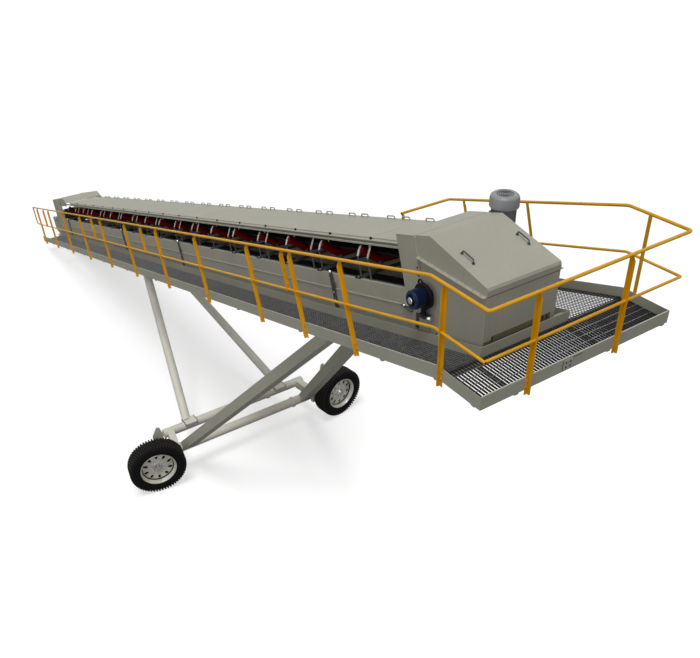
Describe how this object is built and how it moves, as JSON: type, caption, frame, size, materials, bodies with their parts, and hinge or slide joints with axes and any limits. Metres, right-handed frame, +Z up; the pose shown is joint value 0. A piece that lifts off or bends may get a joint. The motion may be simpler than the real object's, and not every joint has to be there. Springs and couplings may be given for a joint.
{
  "type": "mobile covered belt conveyor",
  "caption": "Inclined covered belt conveyor on radial transport wheels, with a walkway, yellow handrail, head platform, discharge hood and vertical drive motor.",
  "frame": {"origin": "middle of the tail foot's base plate, on the floor, where the conveyor turns", "axes": "+X to the discharge end, +Y to the drive side, +Z up"},
  "size_m": [24.1403, 6.2238, 8.8203],
  "materials": {
    "painted_steel": "satin",
    "rail_yellow": "satin",
    "roller_red": "satin",
    "belt_rubber": "matte",
    "galvanised": "satin",
    "backstop_blue": "gloss",
    "motor_grey": "satin",
    "tyre_rubber": "matte",
    "wheel_steel": "satin"
  },
  "bodies": {
    "frame": {"main_frame": "painted_steel", "idler_sets": "roller_red", "belt": "belt_rubber", "head_pulley": "painted_steel", "tail_pulley": "painted_steel", "tail_housing": "painted_steel", "tail_foot": "painted_steel", "head_column": "painted_steel", "discharge_box": "painted_steel", "far_side_sheet": "painted_steel", "backstop": "backstop_blue", "gearbox": "motor_grey", "motor": "motor_grey", "near_walkway_frame": "painted_steel", "near_grating": "galvanised", "far_walkway_frame": "painted_steel", "far_grating": "galvanised", "platform_frame": "painted_steel", "platform_grating": "galvanised", "toe_plate": "painted_steel", "near_rail": "rail_yellow", "front_rail": "rail_yellow", "far_rail": "rail_yellow", "rear_cross_tube": "painted_steel", "front_cross_tube": "painted_steel", "rear_leg_near": "painted_steel", "front_leg_near": "painted_steel", "rear_leg_far": "painted_steel", "front_leg_far": "painted_steel", "wheel_mount_near": "painted_steel", "wheel_mount_far": "painted_steel"},
    "hood": {"hood_lid": "painted_steel"},
    "panel_01": {"cover_01": "painted_steel"},
    "panel_02": {"cover_02": "painted_steel"},
    "panel_03": {"cover_03": "painted_steel"},
    "panel_04": {"cover_04": "painted_steel"},
    "panel_05": {"cover_05": "painted_steel"},
    "panel_06": {"cover_06": "painted_steel"},
    "panel_07": {"cover_07": "painted_steel"},
    "panel_08": {"cover_08": "painted_steel"},
    "panel_09": {"cover_09": "painted_steel"},
    "panel_10": {"cover_10": "painted_steel"},
    "panel_11": {"cover_11": "painted_steel"},
    "panel_12": {"cover_12": "painted_steel"},
    "panel_13": {"cover_13": "painted_steel"},
    "panel_14": {"cover_14": "painted_steel"},
    "panel_15": {"cover_15": "painted_steel"},
    "panel_16": {"cover_16": "painted_steel"},
    "panel_17": {"cover_17": "painted_steel"},
    "panel_18": {"cover_18": "painted_steel"},
    "wheel_near": {"rim_near": "wheel_steel", "tyre_near": "tyre_rubber"},
    "wheel_far": {"rim_far": "wheel_steel", "tyre_far": "tyre_rubber"}
  },
  "joints": [
    {"name": "cover_hinge_01", "type": "hinge", "parent": "frame", "child": "panel_01", "pos_m": [21.06228, -0.478, 8.16202], "axis": [0.9521, 0, 0.3057], "range_deg": [0, 100]},
    {"name": "cover_hinge_02", "type": "hinge", "parent": "frame", "child": "panel_02", "pos_m": [20.13157, -0.478, 7.86321], "axis": [0.9521, 0, 0.3057], "range_deg": [0, 100]},
    {"name": "cover_hinge_03", "type": "hinge", "parent": "frame", "child": "panel_03", "pos_m": [19.07471, -0.478, 7.52389], "axis": [0.9521, 0, 0.3057], "range_deg": [0, 100]},
    {"name": "cover_hinge_04", "type": "hinge", "parent": "frame", "child": "panel_04", "pos_m": [18.01784, -0.478, 7.18456], "axis": [0.9521, 0, 0.3057], "range_deg": [0, 100]},
    {"name": "cover_hinge_05", "type": "hinge", "parent": "frame", "child": "panel_05", "pos_m": [16.96098, -0.478, 6.84524], "axis": [0.9521, 0, 0.3057], "range_deg": [0, 100]},
    {"name": "cover_hinge_06", "type": "hinge", "parent": "frame", "child": "panel_06", "pos_m": [15.90412, -0.478, 6.50592], "axis": [0.9521, 0, 0.3057], "range_deg": [0, 100]},
    {"name": "cover_hinge_07", "type": "hinge", "parent": "frame", "child": "panel_07", "pos_m": [14.84725, -0.478, 6.1666], "axis": [0.9521, 0, 0.3057], "range_deg": [0, 100]},
    {"name": "cover_hinge_08", "type": "hinge", "parent": "frame", "child": "panel_08", "pos_m": [13.79039, -0.478, 5.82728], "axis": [0.9521, 0, 0.3057], "range_deg": [0, 100]},
    {"name": "cover_hinge_09", "type": "hinge", "parent": "frame", "child": "panel_09", "pos_m": [12.73353, -0.478, 5.48795], "axis": [0.9521, 0, 0.3057], "range_deg": [0, 100]},
    {"name": "cover_hinge_10", "type": "hinge", "parent": "frame", "child": "panel_10", "pos_m": [11.67666, -0.478, 5.14863], "axis": [0.9521, 0, 0.3057], "range_deg": [0, 100]},
    {"name": "cover_hinge_11", "type": "hinge", "parent": "frame", "child": "panel_11", "pos_m": [10.6198, -0.478, 4.80931], "axis": [0.9521, 0, 0.3057], "range_deg": [0, 100]},
    {"name": "cover_hinge_12", "type": "hinge", "parent": "frame", "child": "panel_12", "pos_m": [9.56294, -0.478, 4.46999], "axis": [0.9521, 0, 0.3057], "range_deg": [0, 100]},
    {"name": "cover_hinge_13", "type": "hinge", "parent": "frame", "child": "panel_13", "pos_m": [8.50607, -0.478, 4.13067], "axis": [0.9521, 0, 0.3057], "range_deg": [0, 100]},
    {"name": "cover_hinge_14", "type": "hinge", "parent": "frame", "child": "panel_14", "pos_m": [7.44921, -0.478, 3.79135], "axis": [0.9521, 0, 0.3057], "range_deg": [0, 100]},
    {"name": "cover_hinge_15", "type": "hinge", "parent": "frame", "child": "panel_15", "pos_m": [6.39234, -0.478, 3.45202], "axis": [0.9521, 0, 0.3057], "range_deg": [0, 100]},
    {"name": "cover_hinge_16", "type": "hinge", "parent": "frame", "child": "panel_16", "pos_m": [5.33548, -0.478, 3.1127], "axis": [0.9521, 0, 0.3057], "range_deg": [0, 100]},
    {"name": "cover_hinge_17", "type": "hinge", "parent": "frame", "child": "panel_17", "pos_m": [4.27862, -0.478, 2.77338], "axis": [0.9521, 0, 0.3057], "range_deg": [0, 100]},
    {"name": "cover_hinge_18", "type": "hinge", "parent": "frame", "child": "panel_18", "pos_m": [3.22175, -0.478, 2.43406], "axis": [0.9521, 0, 0.3057], "range_deg": [0, 100]},
    {"name": "hood_hinge", "type": "hinge", "parent": "frame", "child": "hood", "pos_m": [21.78834, 0, 8.57158], "axis": [0, -1, 0], "range_deg": [0, 80]},
    {"name": "wheel_spin_near", "type": "hinge", "parent": "frame", "child": "wheel_near", "pos_m": [14.943, -2.452, 0.645], "axis": [0.9867, -0.1626, 0], "continuous": true},
    {"name": "wheel_spin_far", "type": "hinge", "parent": "frame", "child": "wheel_far", "pos_m": [14.943, 2.452, 0.645], "axis": [0.9867, 0.1626, 0], "continuous": true}
  ]
}
